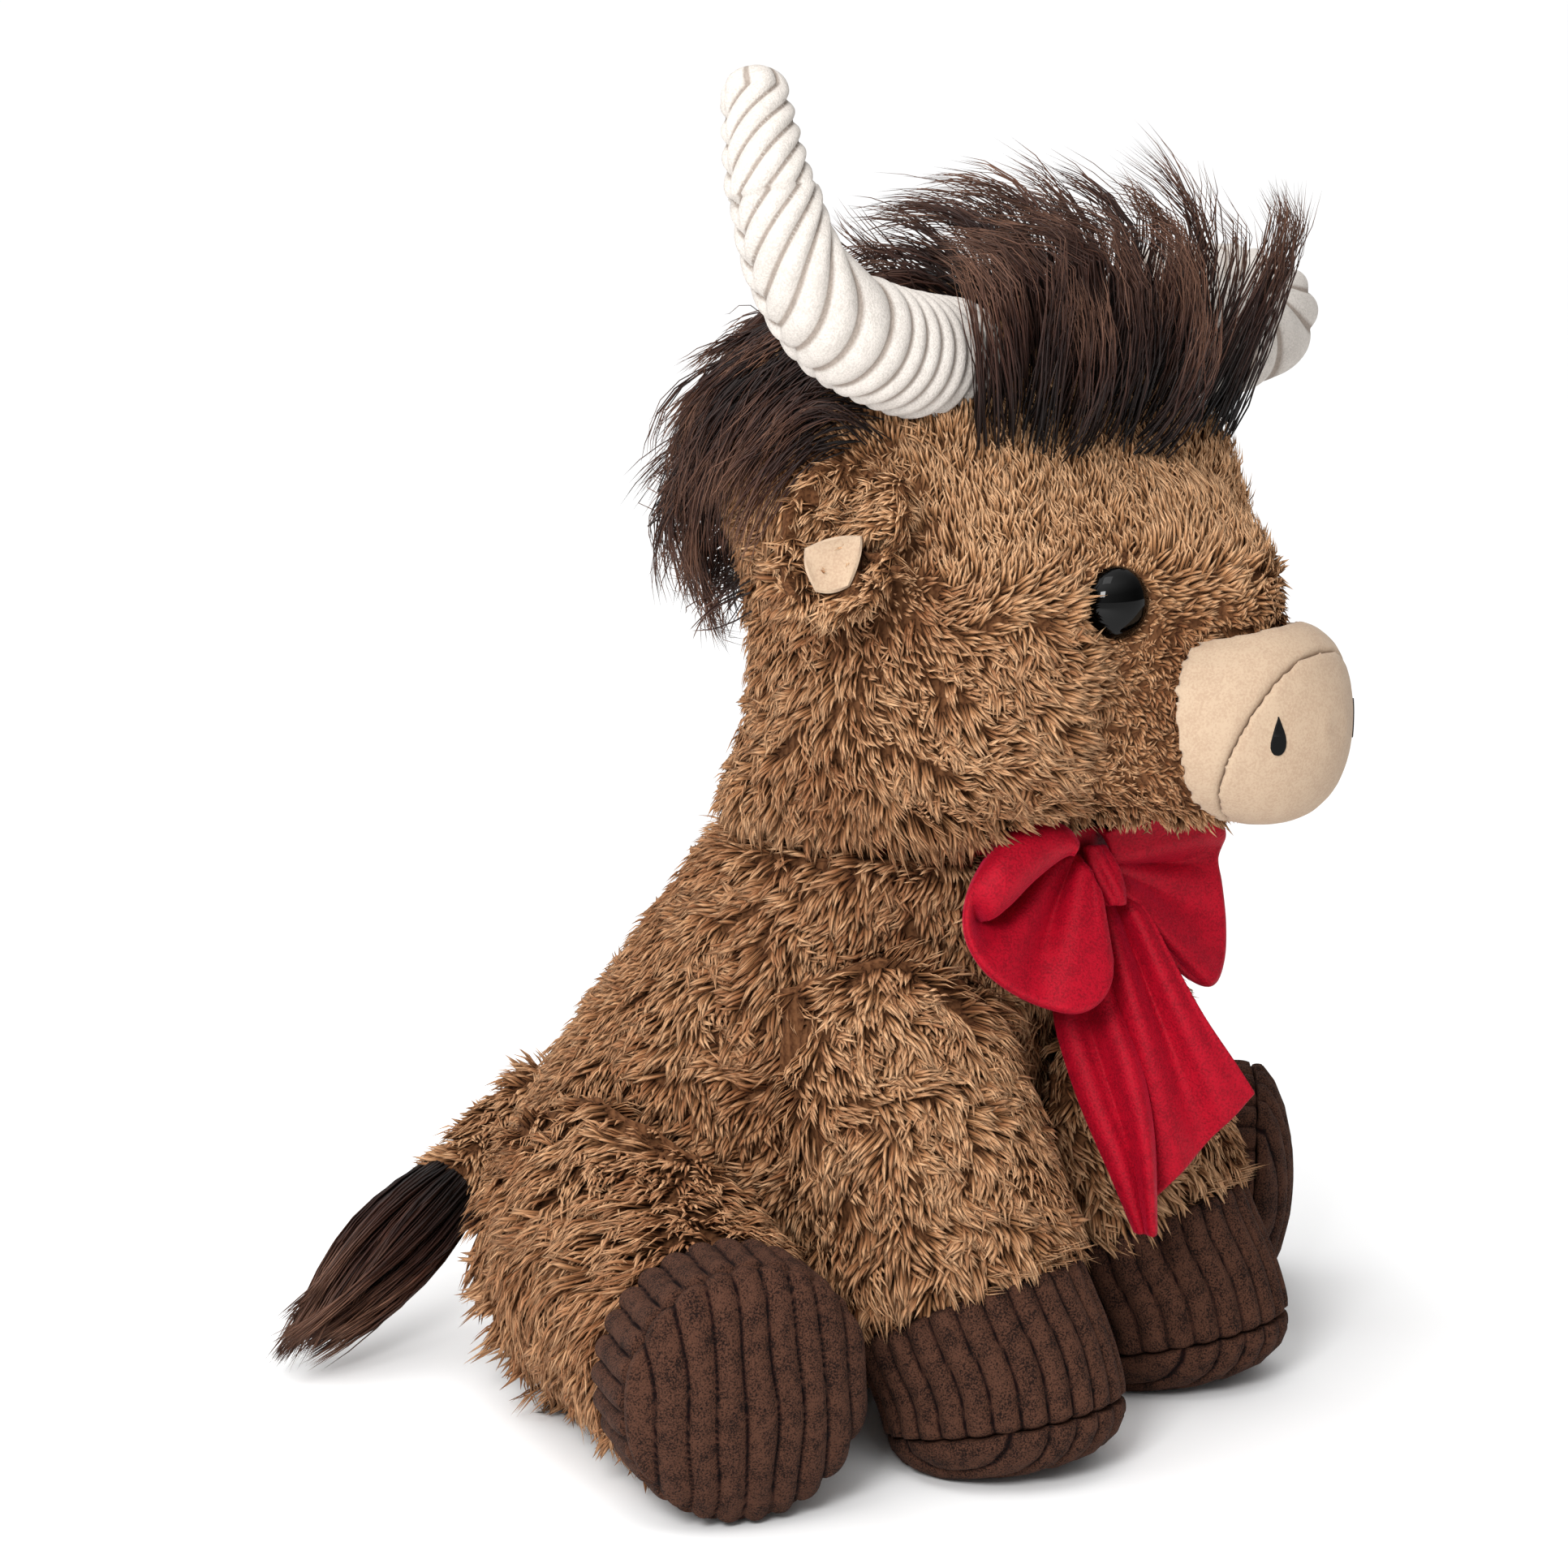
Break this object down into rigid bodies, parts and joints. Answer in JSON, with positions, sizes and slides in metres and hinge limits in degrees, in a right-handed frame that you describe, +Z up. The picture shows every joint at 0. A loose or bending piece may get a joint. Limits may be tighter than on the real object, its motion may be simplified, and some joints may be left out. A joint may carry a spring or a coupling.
{
  "type": "plush cow",
  "caption": "Seated soft-toy cow with curly brown pile, stuffed horns, a crown of long dark hair, corduroy hooves, a velour muzzle and a tied red bow.",
  "frame": {"origin": "on the floor, on the flat base of the torso, in the plane of symmetry", "axes": "+Z up, the cow faces -Y, its right side is on -X"},
  "size_m": [0.4162, 0.3699, 0.4794],
  "materials": {
    "pile": "curly brown pile",
    "hair": "long dark brown hair fibre",
    "corduroy": "dark brown wide-wale corduroy",
    "velour": "short tan velour",
    "horn": "cream corduroy",
    "bow": "red velour with a soft sheen",
    "thread": "black satin stitch",
    "eye": "glossy black",
    "washer": "natural nylon"
  },
  "bodies": {
    "cow": {"torso": "pile", "head": "pile", "eye_right": "eye", "eye_washer_right": "washer", "eye_left": "eye", "eye_washer_left": "washer", "muzzle_gusset": "velour", "muzzle_front": "velour", "nostril_right": "thread", "nostril_left": "thread", "horn_right": "horn", "horn_left": "horn", "hair_crown": "hair", "hind_leg_right": "pile", "hind_hoof_band_right": "corduroy", "hind_hoof_sole_right": "corduroy", "hind_leg_left": "pile", "hind_hoof_band_left": "corduroy", "hind_hoof_sole_left": "corduroy", "neck_ribbon": "bow", "bow_knot": "bow", "bow_loop_right": "bow", "bow_loop_left": "bow"},
    "front_leg_right_body": {"front_leg_right": "pile", "front_hoof_band_right": "corduroy", "front_hoof_sole_right": "corduroy"},
    "front_leg_left_body": {"front_leg_left": "pile", "front_hoof_band_left": "corduroy", "front_hoof_sole_left": "corduroy"},
    "ear_right_body": {"ear_right": "pile", "ear_lining_right": "velour"},
    "ear_left_body": {"ear_left": "pile", "ear_lining_left": "velour"},
    "tail_body": {"tail_stub": "pile", "tail_tuft": "hair"},
    "bow_tail_right_body": {"bow_tail_right": "bow"},
    "bow_tail_left_body": {"bow_tail_left": "bow"}
  },
  "joints": [
    {"name": "front_leg_right_shoulder", "type": "hinge", "parent": "cow", "child": "front_leg_right_body", "pos_m": [-0.054, -0.096, 0.164], "axis": [-0.848, 0.5299, 0], "range_deg": [0, 12]},
    {"name": "front_leg_left_shoulder", "type": "hinge", "parent": "cow", "child": "front_leg_left_body", "pos_m": [0.054, -0.096, 0.164], "axis": [-0.848, -0.5299, 0], "range_deg": [0, 12]},
    {"name": "ear_right_flap", "type": "hinge", "parent": "cow", "child": "ear_right_body", "pos_m": [-0.094, -0.128, 0.348], "axis": [0, 1, 0], "range_deg": [-20, 20], "stiffness_Nm_per_rad": 0.1},
    {"name": "ear_left_flap", "type": "hinge", "parent": "cow", "child": "ear_left_body", "pos_m": [0.094, -0.128, 0.348], "axis": [0, 1, 0], "range_deg": [-20, 20], "stiffness_Nm_per_rad": 0.1},
    {"name": "tail_swing", "type": "hinge", "parent": "cow", "child": "tail_body", "pos_m": [0, 0.08673, 0.084], "axis": [0, 0, 1], "range_deg": [-166, 0]},
    {"name": "bow_tail_right_swing", "type": "hinge", "parent": "cow", "child": "bow_tail_right_body", "pos_m": [0, -0.16755, 0.18196], "axis": [-1, 0, 0], "range_deg": [0, 12]},
    {"name": "bow_tail_left_swing", "type": "hinge", "parent": "cow", "child": "bow_tail_left_body", "pos_m": [0, -0.16755, 0.18196], "axis": [-1, 0, 0], "range_deg": [0, 12]}
  ]
}
